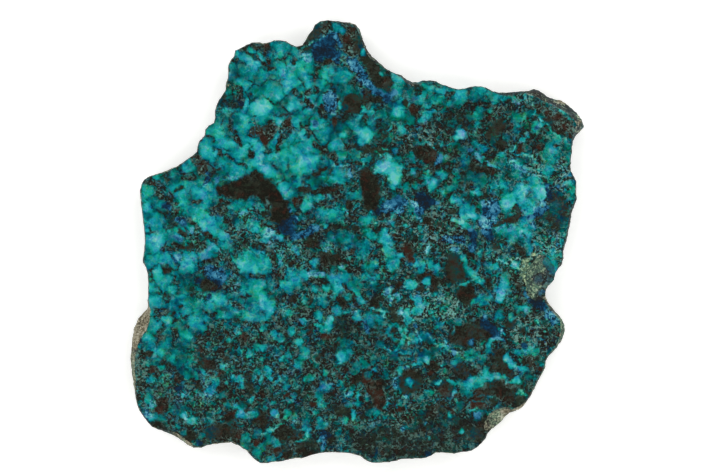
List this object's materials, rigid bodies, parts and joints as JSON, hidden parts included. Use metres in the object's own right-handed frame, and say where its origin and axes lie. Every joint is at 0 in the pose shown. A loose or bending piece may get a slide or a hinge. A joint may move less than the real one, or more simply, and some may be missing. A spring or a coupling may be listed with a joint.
{
  "type": "polished chrysocolla slab",
  "caption": "Thin irregular slab of blue-green chrysocolla and dark copper-oxide rock, one face polished, the other sawn flat, with a rough natural rim.",
  "frame": {"origin": "centre of the slab's bounding box, on the sawn lower face", "axes": "+Z out of the polished face, +Y towards the knob on the rim, +X to the right of it seen from above"},
  "size_m": [0.0865, 0.0842, 0.0065],
  "materials": {
    "stone": "polished"
  },
  "bodies": {
    "root": {"chrysocolla_slab": "stone"}
  },
  "joints": []
}
